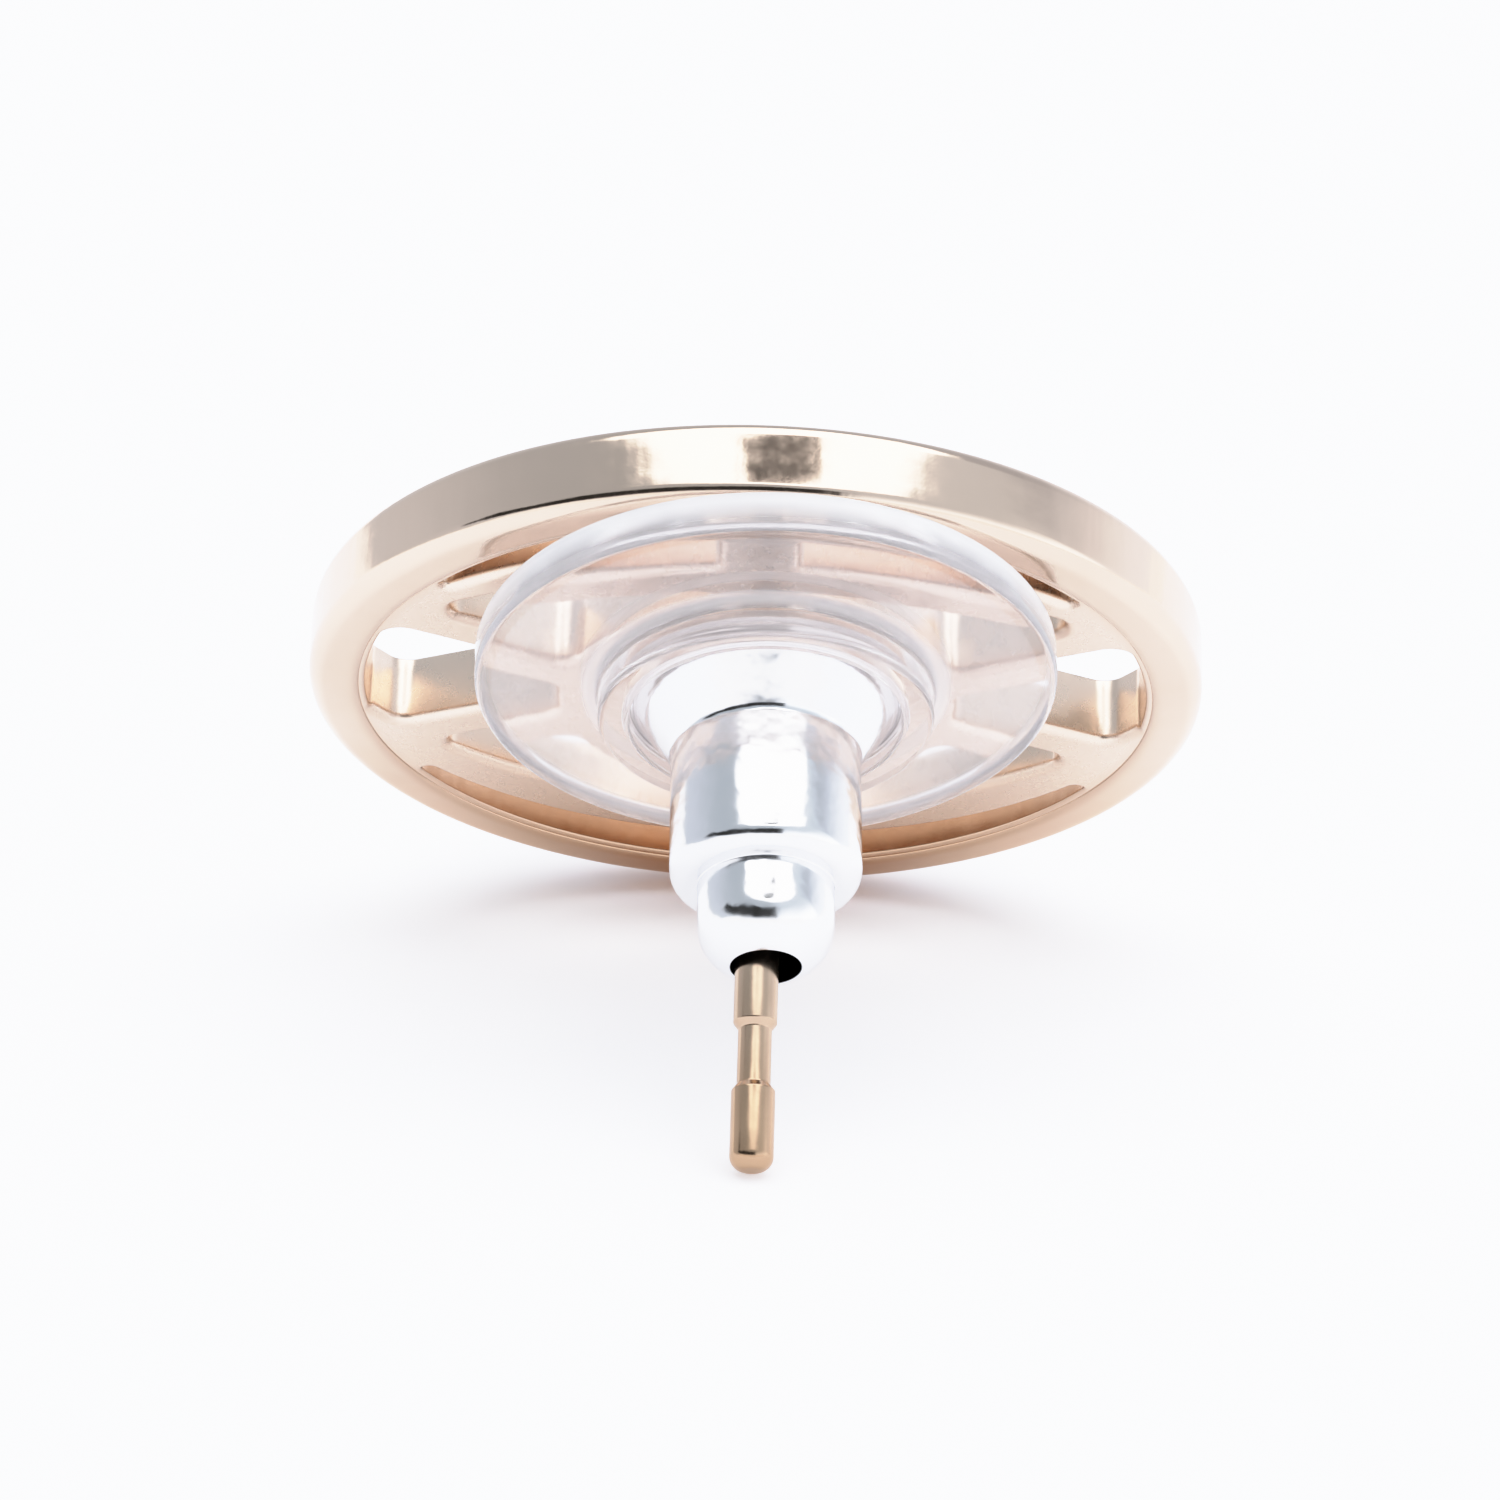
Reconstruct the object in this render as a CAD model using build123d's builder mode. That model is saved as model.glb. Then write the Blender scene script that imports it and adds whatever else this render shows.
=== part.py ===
from build123d import *
import os
from math import acos, atan2, cos, hypot, radians, sin, tan

os.makedirs("parts", exist_ok=True)

# A round stud earring: a pierced disc with a straight post, the bullet clutch that slides on the
# post, and the clear pad of the clutch. Millimetres, +Z up, the floor at z = 0. The stud rests on
# the lowest point of its rim's back edge and on the tip of its post, which points towards -Y.

# Disc: a flat round band, and openwork that lies a little under its back and stops short of its
# front. Both places of the openwork are measured from the band's back
disc_radius = 8.6
band_width = 1.6
rim_wall = 1.08
rim_round = 0.32
openwork_back = 0.08
openwork_front = 1.46
ledge = 0.12

# Openwork: an arched bar near the rim above and below, two chevrons that cross inside a ring,
# and an upright.
# The edges of an arched bar meet the rim at their end angles, up for the upper bar and down for
# the lower one. The lengths are shares of the disc's radius, so that the pattern grows with it
upper_slot = 0.1314 * disc_radius
upper_end_angle = 33
upper_inner_end_angle = 24
lower_slot = 0.13953 * disc_radius
lower_end_angle = 21
lower_inner_end_angle = 5
upper_arch_width = 0.11628 * disc_radius
lower_arch_width = 0.18605 * disc_radius
slot_round = 0.12
chevron_width = 0.11047 * disc_radius
chevron_crossing_up = 0.0814 * disc_radius
chevron_bend_drop = 0.0872 * disc_radius
chevron_rise_angle = 26.5
chevron_fall_angle = 17
ring_radius = 0.44186 * disc_radius
ring_width = 0.14535 * disc_radius
upright_width = 0.1686 * disc_radius
corner_round = 0.4

# Post: soldered to the upright above the middle, so that the disc hangs straight when worn
post_up = 4.5
post_side = 0.17
post_radius = 0.39
post_length = 11.0
post_round = 0.26
solder_radius = 0.7
solder_height = 0.3
groove_radius = 0.3
groove_length = 1.03
groove_taper = 0.12
groove_hollow = 0.02
groove_from_tip = 1.58

# Bullet clutch: flange, flare, body, nose and its wide mouth
flange_radius = 2.59
flange_thickness = 0.34
flange_round = 0.12
flange_land = 0.04
flare_length = 1.0
flare_round = 0.25
body_radius = 1.73
shoulder_round = 0.36
nose_radius = 1.23
nose_length = 1.66
nose_round = 0.9
bullet_length = 5.75
mouth_radius = 0.63
mouth_depth = 0.95
post_clearance = 0.04

# Pad: a clear disc with a collar that grips the flange
pad_radius = 5.35
pad_thickness = 0.82
pad_round = 0.16
pad_hole_radius = 1.2
collar_wall = 0.44
collar_lip_height = 0.28
collar_fillet = 0.25
lip_reach = 0.14
flange_clearance = 0.05

# How the clutch sits: a little askew on the post, with the upper edge of its pad near the disc
clutch_tilt = 6.5
clutch_yaw = 1.4
mouth_shift_up = 0.12
mouth_shift_side = 0.16
pad_gap = 0.1

# Rest pose: the lean at which the rim's rounded back edge and the post's rounded tip both touch
rim_arm = disc_radius - rim_round + post_up - post_radius + post_round
tip_arm = post_length - post_round + rim_round
lean = acos((post_round - rim_round) / hypot(rim_arm, tip_arm)) - atan2(tip_arm, rim_arm)
disc_height = (disc_radius - rim_round) * cos(lean) - rim_round * sin(lean) + rim_round
tip_reach = (
    (post_up + post_radius - post_round) * sin(lean)
    + (post_length - post_round) * cos(lean)
    + post_round
)
rim_reach = (
    (disc_radius - rim_round) * sin(lean) + (band_width - rim_round) * cos(lean) + rim_round
)
back = Plane(
    origin=(0, (tip_reach - rim_reach) / 2, disc_height),
    x_dir=(1, 0, 0),
    z_dir=(0, -cos(lean), -sin(lean)),
)


def beside_post(side, up, out):
    """The point beside the post's axis: across the disc, up the disc and out from its back."""
    return back.from_local_coords(Vector(post_side + side, post_up + up, out))


def lathe_plane(origin, out):
    """The plane of a turned piece's half profile: x is the radius and y the place along the axis."""
    facing = back.x_dir.cross(out)
    return Plane(origin=origin, x_dir=out.cross(facing), z_dir=facing)


def corner(profile, radius, along):
    """The corner of a half profile that is nearest to a radius and a place along the axis."""
    return profile.vertices().sort_by_distance((radius, along))[0]


def within_arch(side, crown, end_angle):
    """All that lies inside an arch's edge, which is a circle through its crown and both its ends
    on the rim. The crown is above the middle for side 1 and below it for -1."""
    end_across = inner_radius * cos(radians(end_angle))
    end_drop = crown - inner_radius * sin(radians(end_angle))
    edge_radius = (end_drop**2 + end_across**2) / (2 * end_drop)
    with BuildSketch() as round_face:
        with Locations((0, side * (crown - edge_radius))):
            Circle(edge_radius)
    return round_face.sketch


def slot(side, width, end_angle):
    """The crescent between the rim and an arched bar, with the upright across it."""
    with BuildSketch() as crescent:
        Circle(inner_radius)
        add(within_arch(side, inner_radius - width, end_angle), mode=Mode.SUBTRACT)
        Rectangle(upright_width, 2 * inner_radius, mode=Mode.SUBTRACT)
        offset(amount=-slot_round)
        offset(amount=slot_round)
    return crescent.sketch


def chevron(bend_up, end_angle):
    """A bent bar from rim to rim, from its bend's height and the angle at which its ends meet."""
    end_across = disc_radius * cos(radians(end_angle))
    end_up = disc_radius * sin(radians(end_angle))
    with BuildLine() as middle:
        Polyline((-end_across, end_up), (0, bend_up), (end_across, end_up))
    with BuildSketch() as bar:
        trace(middle.line, chevron_width)
    return bar.sketch


# Stud body: rim, openwork and post are one casting
inner_radius = disc_radius - rim_wall
upper_inner_crown = inner_radius - upper_slot - upper_arch_width
lower_inner_crown = inner_radius - lower_slot - lower_arch_width
post_base = beside_post(0, 0, 0)
post_axis = Axis(post_base, back.z_dir)
groove_end = post_length - groove_from_tip
groove_start = groove_end - groove_length
rising_chevron = chevron(chevron_crossing_up - chevron_bend_drop, chevron_rise_angle)
falling_chevron = chevron(chevron_crossing_up + chevron_bend_drop, -chevron_fall_angle)
with BuildSketch() as crossing_ring:
    with Locations((0, chevron_crossing_up)):
        Circle(ring_radius)
        Circle(ring_radius - ring_width, mode=Mode.SUBTRACT)

with BuildPart() as stud_body:
    with BuildSketch(back):
        Circle(disc_radius)
    extrude(amount=-band_width)
    fillet(stud_body.edges().filter_by(GeomType.CIRCLE), rim_round)
    with BuildSketch(back):
        Circle(inner_radius)
        add(within_arch(1, upper_inner_crown, upper_inner_end_angle), mode=Mode.INTERSECT)
        add(within_arch(-1, lower_inner_crown, lower_inner_end_angle), mode=Mode.INTERSECT)
        add(rising_chevron, mode=Mode.SUBTRACT)
        add(falling_chevron, mode=Mode.SUBTRACT)
        add(crossing_ring.sketch, mode=Mode.SUBTRACT)
        Rectangle(upright_width, 2 * inner_radius, mode=Mode.SUBTRACT)
        offset(amount=-corner_round)
        offset(amount=corner_round)
    extrude(amount=-band_width, mode=Mode.SUBTRACT)
    with BuildSketch(back):
        add(slot(1, upper_slot, upper_end_angle))
        add(slot(-1, lower_slot, lower_end_angle))
    extrude(amount=-band_width, mode=Mode.SUBTRACT)
    with BuildSketch(back):
        Circle(inner_radius + ledge)
    extrude(amount=-openwork_back, mode=Mode.SUBTRACT)
    with BuildSketch(back.offset(-band_width)):
        Circle(inner_radius + ledge)
    extrude(amount=band_width - openwork_front, mode=Mode.SUBTRACT)

    with BuildSketch(lathe_plane(post_base, back.z_dir)) as post_profile:
        with BuildLine():
            Polyline(
                (0, -openwork_front / 2),
                (solder_radius, -openwork_front / 2),
                (solder_radius, 0),
                (post_radius, solder_height),
                (post_radius, groove_start - groove_taper),
                (groove_radius, groove_start),
            )
            ThreePointArc(
                (groove_radius, groove_start),
                (groove_radius - groove_hollow, (groove_start + groove_end) / 2),
                (groove_radius, groove_end),
            )
            Polyline(
                (groove_radius, groove_end),
                (post_radius, groove_end + groove_taper),
                (post_radius, post_length),
                (0, post_length),
                (0, -openwork_front / 2),
            )
        make_face()
        fillet(corner(post_profile, post_radius, post_length), post_round)
        fillet(corner(post_profile, post_radius, solder_height), solder_height / 2)
    revolve(axis=post_axis)

# Clutch axis: the bullet and its pad turn a few degrees away from the post
clutch_out = (
    back.z_dir
    + back.y_dir * tan(radians(clutch_tilt))
    + back.x_dir * tan(radians(clutch_yaw))
).normalized()
askew = radians(clutch_out.get_angle(back.z_dir))
clutch_length = pad_thickness + flange_clearance + bullet_length
pad_out = pad_gap + pad_radius * sin(askew)
mouth = beside_post(mouth_shift_side, mouth_shift_up, pad_out + clutch_length * cos(askew))
pad_base = mouth - clutch_out * clutch_length
bullet_base = mouth - clutch_out * bullet_length
clutch_axis = Axis(mouth, clutch_out)

# Bullet clutch: turned metal with a bore that follows the post
body_end = bullet_length - nose_length
flare_radius = flange_radius - flange_round - flange_land
flare_end = flange_thickness + flare_length

with BuildPart() as bullet_clutch:
    with BuildSketch(lathe_plane(bullet_base, clutch_out)) as bullet_profile:
        with BuildLine():
            Polyline(
                (0, 0),
                (flange_radius, 0),
                (flange_radius, flange_thickness),
                (flare_radius, flange_thickness),
                (body_radius, flare_end),
                (body_radius, body_end),
                (nose_radius, body_end),
                (nose_radius, bullet_length),
                (0, bullet_length),
                close=True,
            )
        make_face()
        fillet(corner(bullet_profile, flange_radius, 0), flange_round)
        fillet(corner(bullet_profile, flange_radius, flange_thickness), flange_round)
        fillet(corner(bullet_profile, body_radius, flare_end), flare_round)
        fillet(corner(bullet_profile, body_radius, body_end), shoulder_round)
        fillet(corner(bullet_profile, nose_radius, bullet_length), nose_round)
    revolve(axis=clutch_axis)
    with BuildSketch(Plane(origin=mouth, z_dir=clutch_out)):
        Circle(mouth_radius)
    extrude(amount=-mouth_depth, mode=Mode.SUBTRACT)
    with BuildSketch(Plane(origin=post_base, z_dir=back.z_dir)):
        Circle(post_radius + post_clearance)
    extrude(amount=post_length, mode=Mode.SUBTRACT)

# Comfort pad: a moulded clear disc whose collar snaps over the flange
pocket_radius = flange_radius + flange_clearance
collar_radius = pocket_radius + collar_wall
lip_bottom = pad_thickness + flange_thickness + 2 * flange_clearance
lip_top = lip_bottom + collar_lip_height
lip_radius = pocket_radius - lip_reach

with BuildPart() as comfort_pad:
    with BuildSketch(lathe_plane(pad_base, clutch_out)) as pad_profile:
        with BuildLine():
            Polyline(
                (pad_hole_radius, 0),
                (pad_radius, 0),
                (pad_radius, pad_thickness),
                (collar_radius, pad_thickness),
                (collar_radius, lip_top),
                (lip_radius, lip_top),
                (lip_radius, lip_bottom),
                (pocket_radius, lip_bottom),
                (pocket_radius, pad_thickness),
                (pad_hole_radius, pad_thickness),
                close=True,
            )
        make_face()
        fillet(corner(pad_profile, pad_radius, 0), pad_round)
        fillet(corner(pad_profile, pad_radius, pad_thickness), pad_round)
        fillet(corner(pad_profile, collar_radius, pad_thickness), collar_fillet)
        fillet(corner(pad_profile, collar_radius, lip_top), collar_lip_height / 2)
        fillet(corner(pad_profile, lip_radius, lip_top), collar_lip_height / 3)
    revolve(axis=clutch_axis)

stud_body.part.label = "stud_body"
bullet_clutch.part.label = "bullet_clutch"
comfort_pad.part.label = "comfort_pad"

for name, piece in (
    ("stud_body", stud_body),
    ("bullet_clutch", bullet_clutch),
    ("comfort_pad", comfort_pad),
):
    export_step(piece.part, f"parts/{name}.step")
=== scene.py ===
from math import acos, atan2, ceil, cos, degrees, hypot, pi, radians, sin, sqrt, tan

import bmesh
import bpy
from mathutils import Matrix, Vector


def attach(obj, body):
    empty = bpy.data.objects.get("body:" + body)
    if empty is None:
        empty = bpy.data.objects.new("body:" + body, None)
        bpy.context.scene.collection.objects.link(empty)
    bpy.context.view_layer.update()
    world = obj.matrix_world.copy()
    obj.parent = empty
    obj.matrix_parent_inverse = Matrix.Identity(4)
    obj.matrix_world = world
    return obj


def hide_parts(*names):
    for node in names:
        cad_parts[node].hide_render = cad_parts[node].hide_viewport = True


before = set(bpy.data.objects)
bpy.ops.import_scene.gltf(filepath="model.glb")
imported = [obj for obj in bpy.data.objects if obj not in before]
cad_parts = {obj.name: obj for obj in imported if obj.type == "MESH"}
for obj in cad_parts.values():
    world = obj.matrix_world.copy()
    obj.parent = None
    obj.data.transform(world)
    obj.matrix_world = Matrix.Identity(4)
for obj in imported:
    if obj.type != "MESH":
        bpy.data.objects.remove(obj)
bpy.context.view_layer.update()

MM = 0.001

# Disc
disc_radius = 8.6
band_width = 1.6
rim_wall = 1.08
rim_round = 0.32
openwork_back = 0.08
openwork_front = 1.46
ledge = 0.12
rim_inner_round = 0.24
rim_edge_round = 0.08
bar_edge_round = 0.2
front_edge_round = 0.05

# Openwork
upper_slot = 0.1314 * disc_radius
upper_end_angle = 33
upper_inner_end_angle = 24
lower_slot = 0.13953 * disc_radius
lower_end_angle = 21
lower_inner_end_angle = 5
upper_arch_width = 0.11628 * disc_radius
lower_arch_width = 0.18605 * disc_radius
slot_round = 0.12
chevron_width = 0.11047 * disc_radius
chevron_crossing_up = 0.0814 * disc_radius
chevron_bend_drop = 0.0872 * disc_radius
chevron_rise_angle = 26.5
chevron_fall_angle = 17
ring_radius = 0.44186 * disc_radius
ring_width = 0.14535 * disc_radius
upright_width = 0.1686 * disc_radius
corner_round = 0.4

# Post
post_up = 4.5
post_side = 0.17
post_radius = 0.39
post_length = 11.0
post_round = 0.26
solder_radius = 0.7
solder_height = 0.3
groove_radius = 0.3
groove_length = 1.03
groove_taper = 0.12
groove_from_tip = 1.58

# Bullet clutch
flange_radius = 2.59
flange_thickness = 0.34
flange_round = 0.12
flange_land = 0.04
flare_length = 1.0
flare_round = 0.25
body_radius = 1.73
shoulder_round = 0.36
nose_radius = 1.23
nose_length = 1.66
nose_round = 0.9
bullet_length = 5.75
mouth_radius = 0.63
mouth_depth = 0.95
post_clearance = 0.04

# Pad
pad_radius = 5.35
pad_thickness = 0.82
pad_round = 0.16
pad_hole_radius = 1.2
collar_wall = 0.44
collar_lip_height = 0.28
collar_fillet = 0.25
lip_reach = 0.14
flange_clearance = 0.05

# Small edges of the meshes
band_edge_round = 0.08
solder_round = 0.05
solder_fillet = 0.2
groove_round = 0.06
tip_flat = 0.06
flange_back_width = 0.6
flare_edge_round = 0.02
nose_foot_round = 0.03
mouth_lip_round = 0.012
mouth_floor_round = 0.05
mouth_floor_width = 0.1
pad_edge_round = 0.05
lip_edge_round = 0.03

# Between strips of a mesh: the flat beside a hole at the back and at the front, what keeps a
# hole's strip off the rim's, and the part of the nose's outline that the mouth takes away
back_flat = 0.03
front_flat = 0.02
strip_gap = 0.01
mouth_margin = 0.015

# How fine the meshes are: degrees in one step of an arc, the longest straight step, and how
# many steps go round a piece or over an edge
corner_step = 7.5
border_step = 1.2
border_run = 0.3
rim_run = 0.3
post_run = 0.4
bullet_run = 0.35
pad_run = 0.5
rim_steps = 360
post_steps = 72
bullet_steps = 160
pad_steps = 256
hole_corner_steps = 12
back_edge_steps = 8
wall_steps = 5
front_edge_steps = 4

# An edge that bends by more than this many degrees is shaded sharp
sharp_angle = 35

# How the clutch sits
clutch_tilt = 6.5
clutch_yaw = 1.4
mouth_shift_up = 0.12
mouth_shift_side = 0.16
pad_gap = 0.1

# Rest pose
rim_arm = disc_radius - rim_round + post_up - post_radius + post_round
tip_arm = post_length - post_round + rim_round
lean = acos((post_round - rim_round) / hypot(rim_arm, tip_arm)) - atan2(tip_arm, rim_arm)
disc_height = (disc_radius - rim_round) * cos(lean) - rim_round * sin(lean) + rim_round
tip_reach = (
    (post_up + post_radius - post_round) * sin(lean)
    + (post_length - post_round) * cos(lean)
    + post_round
)
rim_reach = (
    (disc_radius - rim_round) * sin(lean) + (band_width - rim_round) * cos(lean) + rim_round
)
across = Vector((1, 0, 0))
up_disc = Vector((0, -sin(lean), cos(lean)))
out_disc = Vector((0, -cos(lean), -sin(lean)))
disc_centre = Vector((0, (tip_reach - rim_reach) / 2, disc_height))

inner_radius = disc_radius - rim_wall


def on_disc(side, up, out):
    """A point from its place across the disc, up it and out of its back, all in millimetres."""
    return disc_centre + across * side + up_disc * up + out_disc * out


post_base = on_disc(post_side, post_up, 0)
clutch_out = (
    out_disc + up_disc * tan(radians(clutch_tilt)) + across * tan(radians(clutch_yaw))
).normalized()
askew = clutch_out.angle(out_disc)
clutch_length = pad_thickness + flange_clearance + bullet_length
pad_out = pad_gap + pad_radius * sin(askew)
mouth = on_disc(
    post_side + mouth_shift_side,
    post_up + mouth_shift_up,
    pad_out + clutch_length * cos(askew),
)
pad_base = mouth - clutch_out * clutch_length
bullet_base = mouth - clutch_out * bullet_length


def rounded(corners, closed=False):
    """A fine outline from corners (x, y, radius): each corner with a radius becomes an arc."""
    out = []
    count = len(corners)
    for i, (x, y, radius) in enumerate(corners):
        here = Vector((x, y))
        ends = (i in (0, count - 1)) and not closed
        if radius == 0 or ends:
            out.append(here)
            continue
        before = Vector(corners[i - 1][:2]) - here
        after = Vector(corners[(i + 1) % count][:2]) - here
        before.normalize()
        after.normalize()
        half = before.angle(after) / 2
        centre = here + (before + after).normalized() * (radius / sin(half))
        first = here + before * (radius / tan(half)) - centre
        last = here + after * (radius / tan(half)) - centre
        steps = max(3, ceil(degrees(first.angle(last)) / corner_step))
        turn = first.angle_signed(last)
        for k in range(steps + 1):
            angle = -turn * k / steps
            out.append(
                centre
                + Vector(
                    (
                        first.x * cos(angle) - first.y * sin(angle),
                        first.x * sin(angle) + first.y * cos(angle),
                    )
                )
            )
    return out


def subdivided(outline, longest):
    """The outline with its long straight runs divided, for a finer mesh."""
    out = [outline[0]]
    for a, b in zip(outline, outline[1:]):
        parts = max(1, ceil((b - a).length / longest))
        out += [a.lerp(b, k / parts) for k in range(1, parts + 1)]
    return out


def ring_axes(out):
    """Two directions square to an axis, the first in the plane of the axis and across the disc."""
    second = out.cross(across).normalized()
    return second.cross(out), second


def round_ring(base, out, radius, along, steps):
    """The points of one circle round an axis."""
    first, second = ring_axes(out)
    return [
        base
        + out * along
        + (first * cos(2 * pi * k / steps) + second * sin(2 * pi * k / steps)) * radius
        for k in range(steps)
    ]


def skin(name, rings, closed=False, start_point=None, end_point=None):
    """A mesh through rings of equal counts, in millimetres, with a point at an end to close it."""
    mesh = bmesh.new()
    loops = [[mesh.verts.new(p * MM) for p in ring] for ring in rings]
    pairs = list(zip(loops, loops[1:]))
    if closed:
        pairs.append((loops[-1], loops[0]))
    count = len(loops[0])
    for a, b in pairs:
        for k in range(count):
            n = (k + 1) % count
            mesh.faces.new((a[k], a[n], b[n], b[k]))
    for point, loop in ((start_point, loops[0]), (end_point, loops[-1])):
        if point is not None:
            tip = mesh.verts.new(point * MM)
            for k in range(count):
                mesh.faces.new((loop[(k + 1) % count], loop[k], tip))
    return finished(name, mesh)


def finished(name, mesh):
    """An object from a bmesh, smooth except at its sharp edges."""
    bmesh.ops.recalc_face_normals(mesh, faces=mesh.faces)
    for face in mesh.faces:
        face.smooth = True
    for edge in mesh.edges:
        if len(edge.link_faces) == 2 and edge.calc_face_angle() > radians(sharp_angle):
            edge.smooth = False
    data = bpy.data.meshes.new(name)
    mesh.to_mesh(data)
    mesh.free()
    thing = bpy.data.objects.new(name, data)
    bpy.context.scene.collection.objects.link(thing)
    return thing


# Stud: the pierced disc
class Line:
    """A straight border of a hole, with the hole on the side that its normal points to."""

    def __init__(self, point, normal):
        self.normal = Vector(normal).normalized()
        self.reach = self.normal.dot(Vector(point))
        self.edge_round = bar_edge_round

    def outward(self, place):
        """The direction from the hole into the metal."""
        return -self.normal


class Arc:
    """A round border of a hole, with the hole inside the circle or outside it."""

    def __init__(self, up, radius, inside, edge_round=bar_edge_round):
        self.centre = Vector((0, up))
        self.radius = radius
        self.sign = 1 if inside else -1
        self.edge_round = edge_round

    def outward(self, place):
        """The direction from the hole into the metal, at a place."""
        return (place - self.centre).normalized() * self.sign


def arch_edge(side, crown, end_angle, inside):
    """A border through an arch's crown and both its ends on the rim."""
    end_across = inner_radius * cos(radians(end_angle))
    end_drop = crown - inner_radius * sin(radians(end_angle))
    edge_radius = (end_drop**2 + end_across**2) / (2 * end_drop)
    return Arc(side * (crown - edge_radius), edge_radius, inside)


def bar_edge(bend_up, end_angle, side):
    """The upper (side 1) or lower (side -1) edge of a chevron's right arm."""
    end = Vector((disc_radius * cos(radians(end_angle)), disc_radius * sin(radians(end_angle))))
    along = (end - Vector((0, bend_up))).normalized()
    normal = Vector((-along.y, along.x)) * side
    return Line(Vector((0, bend_up)) + normal * chevron_width / 2, normal)


def meeting(a, b, inset, near):
    """Where two borders, both moved into the hole, cross: the crossing nearest to a point."""
    if isinstance(a, Line) and isinstance(b, Line):
        cross = a.normal.x * b.normal.y - a.normal.y * b.normal.x
        ra, rb = a.reach + inset, b.reach + inset
        return Vector(
            (
                (ra * b.normal.y - rb * a.normal.y) / cross,
                (rb * a.normal.x - ra * b.normal.x) / cross,
            )
        )
    if isinstance(a, Arc) and isinstance(b, Arc):
        ra, rb = a.radius - a.sign * inset, b.radius - b.sign * inset
        gap = b.centre.y - a.centre.y
        up = a.centre.y + (ra**2 - rb**2 + gap**2) / (2 * gap)
        return Vector((sqrt(ra**2 - (up - a.centre.y) ** 2), up))
    line, arc = (a, b) if isinstance(a, Line) else (b, a)
    radius = arc.radius - arc.sign * inset
    painted_foot_shade = arc.centre + line.normal * (line.reach + inset - line.normal.dot(arc.centre))
    along = Vector((-line.normal.y, line.normal.x))
    half = sqrt(radius**2 - (painted_foot_shade - arc.centre).length_squared)
    return min((painted_foot_shade + along * half, painted_foot_shade - along * half), key=lambda p: (p - near).length)


def hole_outline(borders, corner):
    """One hole's outline with rounded corners, as (point, direction into the metal, how round
    the wall's back edge is)."""
    outline = []
    centres = []
    for i, (border, near) in enumerate(borders):
        after = borders[(i + 1) % len(borders)][0]
        centres.append(meeting(border, after, corner, Vector(near)))
    for i, (border, near) in enumerate(borders):
        start = centres[i - 1] + border.outward(centres[i - 1]) * corner
        end = centres[i] + border.outward(centres[i]) * corner
        if isinstance(border, Arc):
            a, b = start - border.centre, end - border.centre
            turn = a.angle_signed(b)
            steps = max(3, ceil(abs(degrees(turn)) / border_step))
            for k in range(steps + 1):
                angle = atan2(a.y, a.x) - turn * k / steps
                place = border.centre + Vector((cos(angle), sin(angle))) * border.radius
                outline.append((place, border.outward(place), border.edge_round))
        else:
            steps = max(3, ceil((end - start).length / border_run))
            for k in range(steps + 1):
                outline.append((start.lerp(end, k / steps), -border.normal, border.edge_round))
        after = borders[(i + 1) % len(borders)][0]
        first, last = border.outward(centres[i]), after.outward(centres[i])
        turn = first.angle_signed(last)
        for k in range(1, hole_corner_steps):
            angle = atan2(first.y, first.x) - turn * k / hole_corner_steps
            outward = Vector((cos(angle), sin(angle)))
            change = (after.edge_round - border.edge_round) * k / hole_corner_steps
            place = centres[i] + outward * corner
            outline.append((place, outward, border.edge_round + change))
    return outline


rising = (chevron_crossing_up - chevron_bend_drop, chevron_rise_angle)
falling = (chevron_crossing_up + chevron_bend_drop, -chevron_fall_angle)
over_rising, under_rising = bar_edge(*rising, 1), bar_edge(*rising, -1)
over_falling, under_falling = bar_edge(*falling, 1), bar_edge(*falling, -1)
beside_upright = Line((upright_width / 2, 0), (1, 0))
in_rim = Arc(0, inner_radius, True, rim_edge_round)
upper_crown = inner_radius - upper_slot
lower_crown = inner_radius - lower_slot
above_upper_arch = arch_edge(1, upper_crown, upper_end_angle, False)
in_upper_arch = arch_edge(1, upper_crown - upper_arch_width, upper_inner_end_angle, True)
below_lower_arch = arch_edge(-1, lower_crown, lower_end_angle, False)
in_lower_arch = arch_edge(-1, lower_crown - lower_arch_width, lower_inner_end_angle, True)
outside_ring = Arc(chevron_crossing_up, ring_radius, False)
in_ring = Arc(chevron_crossing_up, ring_radius - ring_width, True)

# Each hole of the right half: its corners' radius, and its borders in clockwise order, each with
# a place near the corner that it ends at
holes = (
    (
        slot_round,
        ((beside_upright, (0.7, 7.5)), (in_rim, (6.2, 4.2)), (above_upper_arch, (0.7, 6.4))),
    ),
    (
        corner_round,
        (
            (beside_upright, (0.7, 5.5)),
            (in_upper_arch, (6.0, 3.5)),
            (over_rising, (3.5, 2.2)),
            (outside_ring, (0.7, 4.4)),
        ),
    ),
    (
        corner_round,
        (
            (beside_upright, (0.7, 3.1)),
            (in_ring, (2.3, 1.6)),
            (over_rising, (1.5, 1.3)),
            (over_falling, (0.7, 1.6)),
        ),
    ),
    (
        corner_round,
        (
            (under_rising, (6.9, 2.9)),
            (in_rim, (7.5, -0.6)),
            (in_lower_arch, (7.0, -1.4)),
            (over_falling, (3.6, 0.3)),
            (outside_ring, (3.6, 1.2)),
        ),
    ),
    (
        corner_round,
        (
            (beside_upright, (0.7, -0.2)),
            (under_rising, (1.5, 0.2)),
            (under_falling, (2.4, -0.2)),
            (in_ring, (0.7, -1.7)),
        ),
    ),
    (
        corner_round,
        (
            (beside_upright, (0.7, -3.0)),
            (outside_ring, (3.5, -0.8)),
            (under_falling, (6.5, -2.2)),
            (in_lower_arch, (0.7, -4.7)),
        ),
    ),
    (
        slot_round,
        ((beside_upright, (0.7, -6.3)), (below_lower_arch, (6.9, -2.7)), (in_rim, (0.7, -7.5))),
    ),
)


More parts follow.
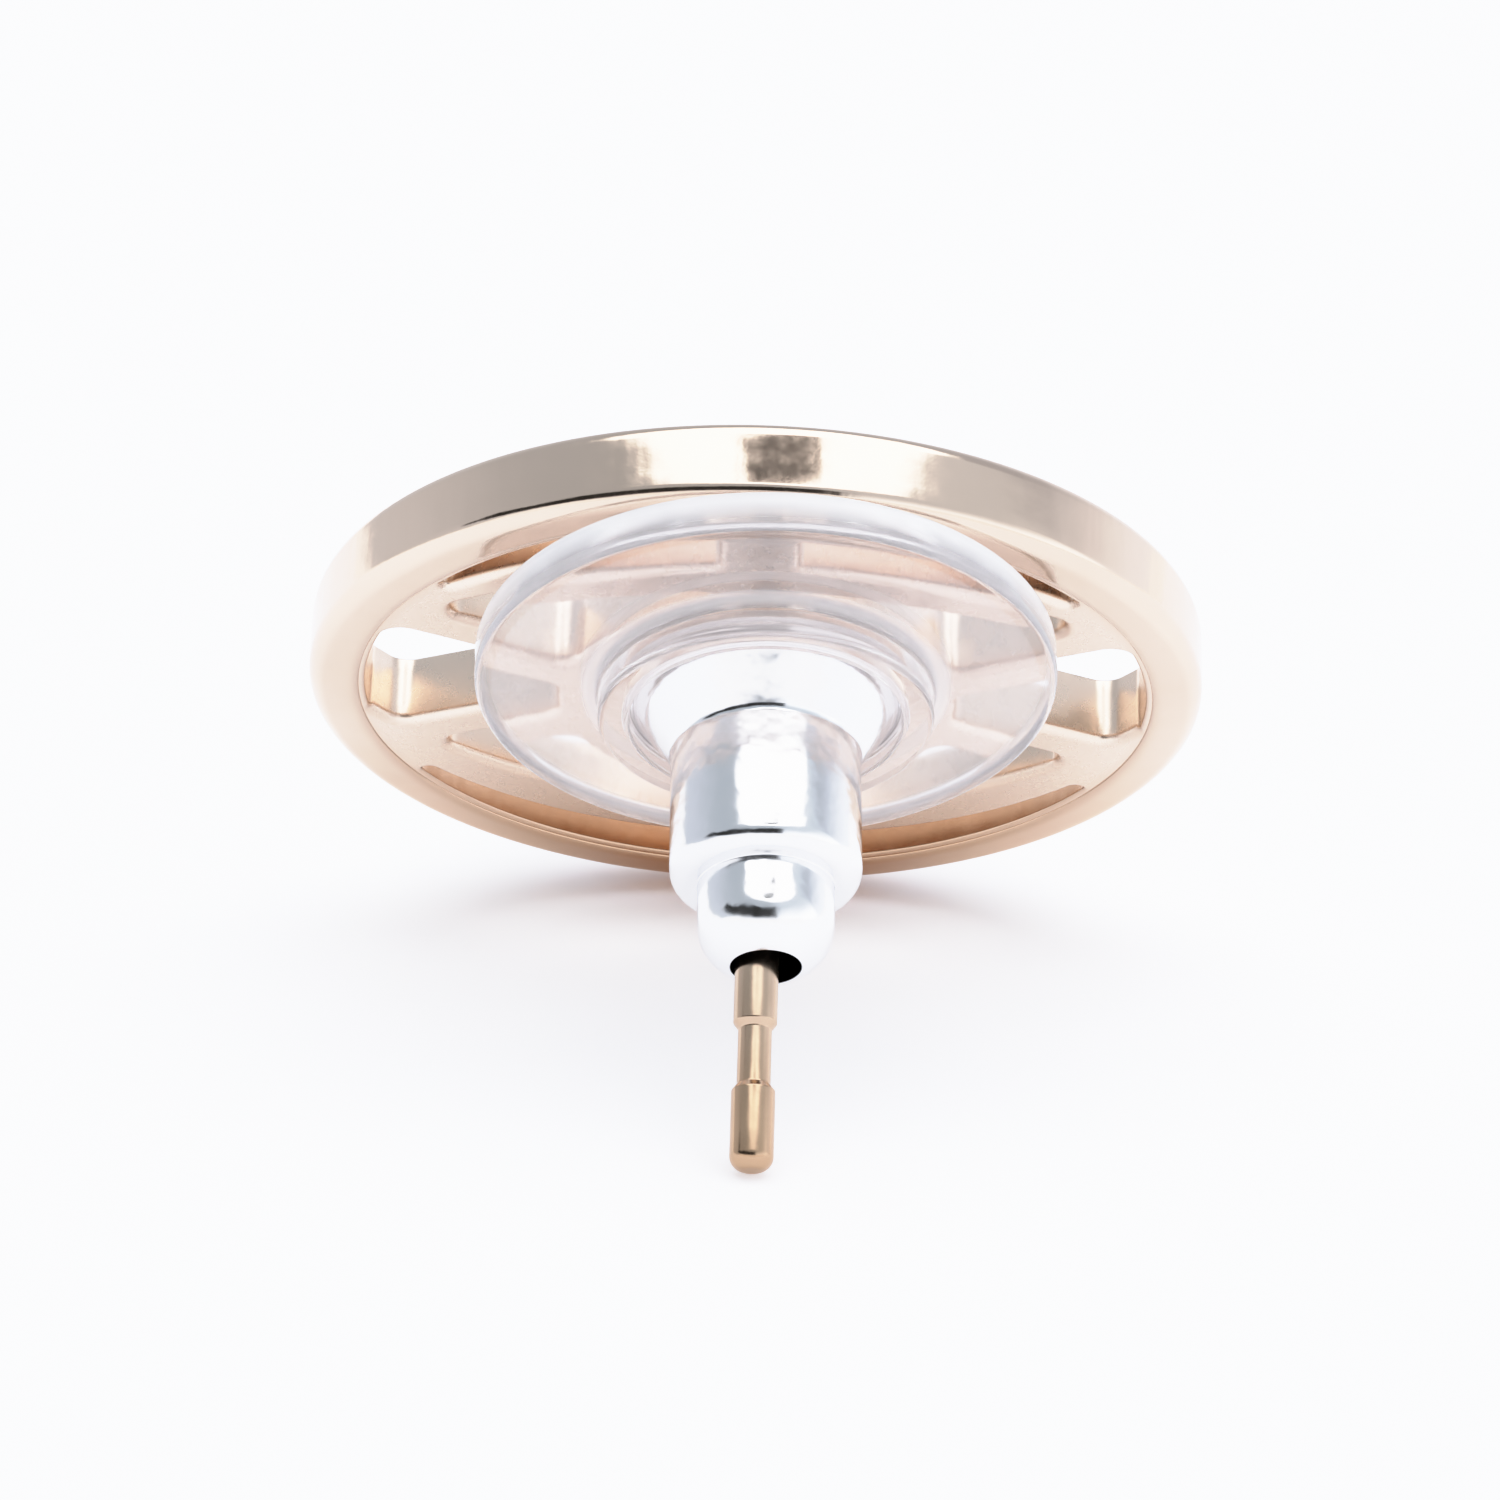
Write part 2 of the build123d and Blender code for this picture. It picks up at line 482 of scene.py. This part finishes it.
def edge_profile(edge_round):
    """A hole's wall from back to front: how far into the metal, and how far out."""
    back, front = -openwork_back, -openwork_front
    profile = [(edge_round + back_flat, back)]
    for k in range(back_edge_steps + 1):
        angle = pi / 2 * k / back_edge_steps
        profile.append((edge_round * (1 - sin(angle)), back - edge_round * (1 - cos(angle))))
    start, end = back - edge_round, front + front_edge_round
    for k in range(1, wall_steps):
        profile.append((0, start + (end - start) * k / wall_steps))
    for k in range(front_edge_steps + 1):
        angle = pi / 2 * k / front_edge_steps
        profile.append(
            (front_edge_round * (1 - cos(angle)), front + front_edge_round * (1 - sin(angle)))
        )
    profile.append((front_edge_round + front_flat, front))
    return profile


def pierced_disc():
    """The rim and its openwork as one mesh."""
    mesh = bmesh.new()
    backs, fronts = [], []

    def add_strip(loops):
        made = [[mesh.verts.new(p * MM) for p in loop] for loop in loops]
        for a, b in zip(made, made[1:]):
            for k in range(len(a)):
                n = (k + 1) % len(a)
                mesh.faces.new((a[k], a[n], b[n], b[k]))
        for loop, kept in ((made[0], backs), (made[-1], fronts)):
            kept += [mesh.edges.get((loop[k - 1], loop[k])) for k in range(len(loop))]

    ledge_radius = inner_radius + ledge
    slope = [
        (ledge_radius + rim_inner_round * (1 - sin(a)), -openwork_back * (1 - cos(a)), 0)
        for a in [pi / 2 * k / back_edge_steps for k in range(back_edge_steps, -1, -1)]
    ]
    outline = rounded(
        slope
        + [
            (disc_radius, 0, rim_round),
            (disc_radius, -band_width, rim_round),
            (ledge_radius, -band_width, band_edge_round),
            (ledge_radius, -openwork_front, 0),
            (ledge_radius - front_flat, -openwork_front, 0),
        ]
    )
    turns = [2 * pi * k / rim_steps for k in range(rim_steps)]
    add_strip(
        [
            [on_disc(r * cos(turn), r * sin(turn), z) for turn in turns]
            for r, z in subdivided(outline, rim_run)
        ]
    )
    for corner, borders in holes:
        places = [
            (point, outward, edge_profile(edge_round))
            for point, outward, edge_round in hole_outline(borders, corner)
        ]
        for mirror in (1, -1):
            loops = []
            for k in range(len(places[0][2])):
                loop = []
                for point, outward, profile in places:
                    grow, z = profile[k]
                    p = point + outward * grow
                    p *= min(1, (ledge_radius - strip_gap) / p.length)
                    loop.append(on_disc(p.x * mirror, p.y, z))
                loops.append(loop)
            add_strip(loops)
    for edges in (backs, fronts):
        bmesh.ops.triangle_fill(mesh, edges=edges, use_beauty=True, use_dissolve=False)
    return finished("pierced_disc", mesh)


disc = pierced_disc()

# Stud: the post
groove_end = post_length - groove_from_tip
groove_start = groove_end - groove_length
post_outline = subdivided(
    rounded(
        [
            (solder_radius, -openwork_front / 2, 0),
            (solder_radius, 0, solder_round),
            (post_radius, solder_height, solder_fillet),
            (post_radius, groove_start - groove_taper, groove_round),
            (groove_radius, groove_start, groove_round),
            (groove_radius, groove_end, groove_round),
            (post_radius, groove_end + groove_taper, groove_round),
            (post_radius, post_length, post_round),
            (tip_flat, post_length, 0),
        ]
    ),
    post_run,
)
post = skin(
    "post",
    [round_ring(post_base, out_disc, r, z, post_steps) for r, z in post_outline],
    start_point=post_base - out_disc * openwork_front / 2,
    end_point=post_base + out_disc * post_length,
)

# Bullet clutch
flare_radius = flange_radius - flange_round - flange_land
flare_end = flange_thickness + flare_length
body_end = bullet_length - nose_length
mouth_floor = bullet_length - mouth_depth
bullet_turned = rounded(
    [
        (flange_radius - flange_back_width, 0, 0),
        (flange_radius, 0, flange_round),
        (flange_radius, flange_thickness, flange_round),
        (flare_radius, flange_thickness, flare_edge_round),
        (body_radius, flare_end, flare_round),
        (body_radius, body_end, shoulder_round),
        (nose_radius, body_end, nose_foot_round),
        (nose_radius, bullet_length, nose_round),
        (0, bullet_length, 0),
    ]
)
mouth_edge = bullet_length - nose_round + sqrt(
    nose_round**2 - (mouth_radius - nose_radius + nose_round) ** 2
)
bullet_outline = subdivided(
    rounded(
        [(p.x, p.y, 0) for p in bullet_turned if p.x > mouth_radius + mouth_margin]
        + [
            (mouth_radius, mouth_edge, mouth_lip_round),
            (mouth_radius, mouth_floor, mouth_floor_round),
            (mouth_radius - mouth_floor_width, mouth_floor, 0),
        ]
    ),
    bullet_run,
)


def bore_ring(along):
    """The bore's ring in the plane square to the clutch's axis at a place along that axis."""
    level = bullet_base + clutch_out * along
    ring = []
    for p in round_ring(post_base, out_disc, post_radius + post_clearance, 0, bullet_steps):
        ring.append(p + out_disc * ((level - p).dot(clutch_out) / out_disc.dot(clutch_out)))
    return ring


bullet = skin(
    "bullet_shell",
    [round_ring(bullet_base, clutch_out, r, z, bullet_steps) for r, z in bullet_outline]
    + [bore_ring(mouth_floor), bore_ring(bullet_length / 2), bore_ring(0)],
    closed=True,
)

# Comfort pad
pocket_radius = flange_radius + flange_clearance
collar_radius = pocket_radius + collar_wall
lip_bottom = pad_thickness + flange_thickness + 2 * flange_clearance
lip_top = lip_bottom + collar_lip_height
lip_radius = pocket_radius - lip_reach
pad_corners = [
    (pad_hole_radius, 0, pad_edge_round),
    (pad_radius, 0, pad_round),
    (pad_radius, pad_thickness, pad_round),
    (collar_radius, pad_thickness, collar_fillet),
    (collar_radius, lip_top, collar_lip_height / 2),
    (lip_radius, lip_top, collar_lip_height / 3),
    (lip_radius, lip_bottom, lip_edge_round),
    (pocket_radius, lip_bottom, lip_edge_round),
    (pocket_radius, pad_thickness, pad_edge_round),
    (pad_hole_radius, pad_thickness, pad_edge_round),
]
pad_outline = rounded(pad_corners, closed=True)
pad = skin(
    "pad_shell",
    [
        round_ring(pad_base, clutch_out, r, z, pad_steps)
        for r, z in subdivided(pad_outline + pad_outline[:1], pad_run)[:-1]
    ],
    closed=True,
)

# Each piece rides on its body from the place where it was made
for piece, body, node, slot_name in (
    (disc, "stud", "stud_body", "gold_metal"),
    (post, "stud", "stud_body", "gold_metal"),
    (bullet, "clutch", "bullet_clutch", "silver_metal"),
    (pad, "clutch", "comfort_pad", "clear_plastic"),
):
    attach(piece, body)
    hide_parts(node)


# Materials. Lengths in them are in metres
noise_low, noise_high = 0.3, 0.7
white = (1.0, 1.0, 1.0)


class Nodes:
    """A short way to write a node tree."""

    def __init__(self, tree):
        self.tree = tree
        tree.nodes.clear()

    def add(self, kind, inputs=None, **settings):
        """A node with its settings, and its inputs linked or set."""
        node = self.tree.nodes.new(kind)
        for key, value in settings.items():
            setattr(node, key, value)
        for key, value in (inputs or {}).items():
            if isinstance(value, bpy.types.NodeSocket):
                self.tree.links.new(value, node.inputs[key])
            else:
                node.inputs[key].default_value = value
        return node

    def math(self, operation, a, b, clamp=False):
        node = self.add("ShaderNodeMath", {0: a, 1: b}, operation=operation, use_clamp=clamp)
        return node.outputs[0]

    def vector(self, operation, a, b):
        """A vector made from two vectors."""
        return self.add("ShaderNodeVectorMath", {0: a, 1: b}, operation=operation).outputs[0]

    def length(self, a):
        return self.add("ShaderNodeVectorMath", {0: a}, operation="LENGTH").outputs[1]

    def dot(self, a, b):
        return self.add("ShaderNodeVectorMath", {0: a, 1: b}, operation="DOT_PRODUCT").outputs[1]

    def reach(self, place, point, axis):
        """How far a place is from an axis through a point that is given in millimetres."""
        return self.length(
            self.vector("CROSS_PRODUCT", self.vector("SUBTRACT", place, point * MM), axis)
        )

    def spread(self, value, low, high, first, last, kind="LINEAR"):
        """A number that goes from first to last while a value goes from low to high."""
        return self.add(
            "ShaderNodeMapRange",
            {"Value": value, "From Min": low, "From Max": high, "To Min": first, "To Max": last},
            interpolation_type=kind,
        ).outputs[0]

    def step(self, value, low, high):
        """A soft step from 0 to 1."""
        return self.spread(value, low, high, 0.0, 1.0, "SMOOTHSTEP")

    def mix(self, factor, first, second, blend="MIX"):
        return self.add(
            "ShaderNodeMix", {0: factor, 6: first, 7: second}, data_type="RGBA", blend_type=blend
        ).outputs[2]

    def ramp(self, value, stops):
        node = self.add("ShaderNodeValToRGB", {0: value})
        while len(node.color_ramp.elements) < len(stops):
            node.color_ramp.elements.new(0.5)
        for element, (at, colour) in zip(node.color_ramp.elements, stops):
            element.position = at
            element.color = (*colour, 1)
        return node.outputs[0]

    def noise(self, scale, detail, roughness, place):
        return self.add(
            "ShaderNodeTexNoise",
            {"Scale": scale, "Detail": detail, "Roughness": roughness, "Vector": place},
        ).outputs[0]

    def bump(self, height, strength, distance, under=None):
        """A bump, over another one where that is given."""
        inputs = {"Height": height, "Strength": strength, "Distance": distance}
        if under is not None:
            inputs["Normal"] = under
        return self.add("ShaderNodeBump", inputs).outputs[0]

    def surface(self, inputs):
        shader = self.add("ShaderNodeBsdfPrincipled", inputs)
        self.add("ShaderNodeOutputMaterial", {"Surface": shader.outputs[0]})


def new_material(name):
    """A material, its nodes and the place on the object."""
    material = bpy.data.materials.new(name)
    material.use_nodes = True
    n = Nodes(material.node_tree)
    return material, n, n.add("ShaderNodeTexCoord").outputs["Object"]


def gold_material(name, dark, light, inside, satin_rough):
    """Gold plate from its darkest to its lightest colour, tinted and rougher within the rim."""
    material, n, place = new_material(name)
    soft = n.noise(260, 3, 0.5, place)
    fine = n.noise(2600, 3, 0.6, place)
    colour = n.ramp(soft, [(noise_low, dark), (noise_high, light)])

    # Painted warm shade near the foot: darker and warmer low down, standing in for the light that
    # gold throws on gold there
    height = n.add("ShaderNodeSeparateXYZ", {0: place}).outputs[2]
    painted_foot_shade = n.ramp(n.step(height, 0.0003, 0.0050), [(0.0, (0.80, 0.67, 0.55)), (1.0, white)])
    colour = n.mix(1.0, colour, painted_foot_shade, "MULTIPLY")

    # The openwork is left satin inside the polished rim
    reach = n.reach(place, disc_centre, out_disc)
    satin = n.spread(reach, 0.0074, 0.0077, satin_rough, 0.0)
    rough = n.math("ADD", n.spread(fine, noise_low, noise_high, 0.08, 0.16), satin)
    lighter = n.ramp(n.math("DIVIDE", satin, satin_rough), [(0.0, white), (1.0, inside)])
    colour = n.mix(1.0, colour, lighter, "MULTIPLY")

    # The walls carry faint streaks that run across them: the noise is drawn out along the axis
    drawn = n.math("MULTIPLY", n.dot(place, out_disc), 0.85)
    drawn = n.add("ShaderNodeVectorMath", {0: out_disc, 3: drawn}, operation="SCALE").outputs[0]
    streaks = n.noise(1500, 2, 0.5, n.vector("SUBTRACT", place, drawn))
    bump = n.bump(soft, 0.5, 0.00009)
    bump = n.bump(streaks, 0.5, 0.00002, bump)
    bump = n.bump(fine, 0.3, 0.000006, bump)
    n.surface({"Base Color": colour, "Metallic": 1.0, "Roughness": rough, "Normal": bump})
    return material


def silver_material():
    material, n, place = new_material("polished_silver_plate")
    soft = n.noise(420, 2, 0.5, place)
    fine = n.noise(3200, 3, 0.6, place)
    colour = n.ramp(
        soft, [(noise_low, (0.84, 0.845, 0.865)), (noise_high, (0.915, 0.917, 0.925))]
    )

    # Painted shade: a little darker and bluer at the outline, where the surface turns away, and
    # nearly black inside the mouth
    facing = n.add("ShaderNodeLayerWeight", {"Blend": 0.5}).outputs["Facing"]
    outline = n.ramp(facing, [(0.72, white), (0.98, (0.72, 0.74, 0.79))])
    colour = n.mix(1.0, colour, outline, "MULTIPLY")
    # Painted shade in the mouth and bore: the colour goes nearly black within the mouth's radius
    inside = n.spread(n.reach(place, mouth, clutch_out), 0.000632, 0.00065, 1.0, 0.0)
    colour = n.mix(inside, colour, (0.03, 0.03, 0.03, 1))
    rough = n.spread(fine, noise_low, noise_high, 0.10, 0.19)
    uneven = n.noise(1700, 2, 0.5, place)
    bump = n.bump(soft, 0.5, 0.00005)
    bump = n.bump(uneven, 0.65, 0.000028, bump)
    n.surface({"Base Color": colour, "Metallic": 1.0, "Roughness": rough, "Normal": bump})
    return material


def plastic_material():
    material, n, place = new_material("clear_soft_plastic")
    soft = n.noise(350, 3, 0.5, place)
    cloud = n.noise(160, 3, 0.55, place)
    bump = n.bump(soft, 0.3, 0.00004)

    # Milkier in the collar and along the pad's outer wall, by the distance from the axis in
    # hundredths of a metre, and less milky on the side of that wall away from the disc
    reach = n.reach(place, pad_base, clutch_out)
    scaled = n.math("MULTIPLY", reach, 100)
    milk = n.ramp(
        scaled,
        [
            (at, (level, level, level))
            for at, level in (
                (0.26, 0.06),
                (0.29, 0.04),
                (0.298, 0.0),
                (0.306, 0.0),
                (0.314, 0.30),
                (0.334, 0.26),
                (0.345, 0.0),
                (0.51, 0.0),
                (0.53, 0.62),
            )
        ],
    )
    along = n.dot(n.vector("SUBTRACT", place, pad_base * MM), clutch_out)
    wall = n.spread(reach, 0.0050, 0.0052, 0.0, 1.0)
    front = n.spread(along, 0.00025, 0.0006, 0.0, 0.5)
    veil = n.spread(cloud, noise_low, noise_high, 0.90, 0.83)
    veil = n.math("SUBTRACT", veil, milk)
    veil = n.math("ADD", veil, n.math("MULTIPLY", wall, front), clamp=True)
    tint = n.ramp(
        scaled,
        [
            (0.26, (0.985, 0.94, 0.925)),
            (0.35, (0.985, 0.955, 0.955)),
            (0.50, (0.985, 0.955, 0.955)),
            (0.53, (0.97, 0.975, 1.0)),
        ],
    )
    n.surface(
        {
            "Base Color": tint,
            # Painted light: a faint pink glow in the pad lifts its darker parts
            "Emission Color": (1.0, 0.88, 0.86, 1),
            "Emission Strength": 0.022,
            "Roughness": 0.07,
            "IOR": 1.42,
            "Transmission Weight": veil,
            "Normal": bump,
        }
    )
    return material


def floor_material():
    material, n, place = new_material("white_table")
    soft = n.noise(30, 2, 0.5, place)
    colour = n.ramp(soft, [(noise_low, (0.82, 0.83, 0.875)), (noise_high, (0.825, 0.835, 0.88))])

    # Painted shadow and painted bounce light: the floor glows less, and warmer, where the disc
    # stands on it
    from_foot = n.vector("SUBTRACT", place, (0, 0.0082, 0))
    far = n.length(n.vector("MULTIPLY", from_foot, (625, 1000, 0)))
    glow_with_painted_shadow = n.spread(far, 1.0, 5.3, 0.14, 0.49, "SMOOTHSTEP")
    glow_hue_with_painted_bounce = n.ramp(
        n.step(far, 0.8, 3.0),
        [(0.0, (0.72, 0.40, 0.25)), (0.7, (0.92, 0.88, 0.95)), (1.0, (0.96, 0.965, 1.0))],
    )
    n.surface(
        {
            "Base Color": colour,
            "Roughness": 0.9,
            "Specular IOR Level": 0.1,
            "Emission Color": glow_hue_with_painted_bounce,
            "Emission Strength": glow_with_painted_shadow,
        }
    )
    return material


disc_gold = gold_material(
    "pale_gold_plate", (0.75, 0.59, 0.47), (0.82, 0.65, 0.525), (1.08, 1.11, 1.14), 0.16
)
post_gold = gold_material("gold_post_wire", (0.52, 0.40, 0.30), (0.80, 0.645, 0.51), white, 0.07)
for piece, material in (
    (disc, disc_gold),
    (post, post_gold),
    (bullet, silver_material()),
    (pad, plastic_material()),
):
    piece.data.materials.append(material)

# Floor
bpy.ops.mesh.primitive_plane_add(size=3, location=(0, 0, -0.00001))
floor = bpy.context.object
floor.name = "floor"
floor.data.materials.append(floor_material())


# Room: a bright ceiling, grey walls, and the dark shape of whoever takes the picture
def make_world():
    world = bpy.data.worlds.new("room")
    bpy.context.scene.world = world
    world.use_nodes = True
    n = Nodes(world.node_tree)
    direction = n.add("ShaderNodeTexCoord").outputs["Generated"]
    x, y, z = n.add("ShaderNodeSeparateXYZ", {0: direction}).outputs
    towards = n.math("MULTIPLY", y, -1.0)

    def all_of(first, *others):
        """The product of soft steps: 1 only where all of them are 1."""
        for other in others:
            first = n.math("MULTIPLY", first, other)
        return first

    # The walls: brighter low down, most of all on the right, and white along the horizon
    left = n.mix(n.step(z, 0.15, 0.75), (0.70, 0.74, 0.82, 1), (0.49, 0.54, 0.60, 1))
    right = n.mix(n.step(z, 0.10, 0.65), (1.45, 1.52, 1.65, 1), (0.62, 0.67, 0.74, 1))
    away = n.mix(n.step(y, 0.0, 0.18), (1.2, 1.2, 1.2, 1), (0.82, 0.82, 0.84, 1))
    right = n.mix(1.0, right, away, "MULTIPLY")
    walls = n.mix(n.step(x, 0.0, 0.5), left, right)
    horizon = n.math("MULTIPLY", n.step(towards, 0.2, 0.6), 0.15)
    low_down = n.step(n.math("SUBTRACT", z, horizon), 0.08, 0.03)
    walls = n.mix(low_down, walls, (1.4, 1.4, 1.45, 1))

    # The ceiling's light ends higher on the left than on the right
    ceiling = n.step(n.math("ADD", z, n.math("MULTIPLY", x, 0.059)), 0.812, 0.848)
    room = n.mix(ceiling, walls, (2.4, 2.4, 2.45, 1))

    # The dark shape: wide and low with a ragged top, and a small part high above it
    ragged = n.math("SUBTRACT", n.noise(16, 3, 0.7, direction), 0.5)
    upper = n.spread(x, -0.8, -0.65, 0.50, 0.63)
    upper = n.math("ADD", upper, n.math("MULTIPLY", ragged, 0.24))
    wide = all_of(
        n.step(x, -0.97, -0.93),
        n.step(x, 0.36, 0.28),
        n.step(towards, 0.02, 0.10),
        n.step(z, 0.23, 0.28),
        n.step(n.math("SUBTRACT", z, upper), 0.02, -0.02),
    )
    small = all_of(
        n.step(x, -0.08, -0.055),
        n.step(x, 0.22, 0.19),
        n.step(towards, 0.22, 0.27),
        n.step(z, 0.90, 0.915),
        n.step(z, 0.962, 0.952),
    )
    shade = n.mix(n.step(z, 0.90, 0.96), (0.08, 0.08, 0.08, 1), (0.15, 0.16, 0.175, 1))
    room = n.mix(small, room, shade)
    room = n.mix(wide, room, (0.03, 0.03, 0.03, 1))
    background = n.add("ShaderNodeBackground", {"Color": room, "Strength": 1.0})
    n.add("ShaderNodeOutputWorld", {"Surface": background.outputs[0]})


make_world()

# Camera
camera = bpy.data.objects.new("camera", bpy.data.cameras.new("camera"))
bpy.context.scene.collection.objects.link(camera)
bpy.context.scene.camera = camera
look = Vector((0, 0.96060047, -0.27793298))
top = Vector((-0.0300895, 0.27780713, 0.96016552))
right = look.cross(top).normalized()
top = right.cross(look)
camera_place = Vector((-0.0669630, -80.1826463, 28.3561353)) * MM
camera_turn = Matrix((right, top, -look)).transposed().to_4x4()
camera.matrix_world = Matrix.Translation(camera_place) @ camera_turn
camera.data.sensor_width = 36
camera.data.lens = 105.69
camera.data.clip_start = 0.001
camera.data.clip_end = 20

scene = bpy.context.scene
scene.view_settings.view_transform = "Standard"
scene.view_settings.look = "None"

# A soft shoulder, so that bright metal keeps its tint
scene.view_settings.use_curve_mapping = True
tone = scene.view_settings.curve_mapping
tone.use_clip = False
tone.white_level = (4, 4, 4)
curve = tone.curves[3]
for level, shown in (
    (0.15, 0.6),
    (0.2, 0.775),
    (0.25, 0.88),
    (0.31, 0.945),
    (0.36, 0.972),
    (0.5, 0.985),
):
    curve.points.new(level, shown)
tone.update()
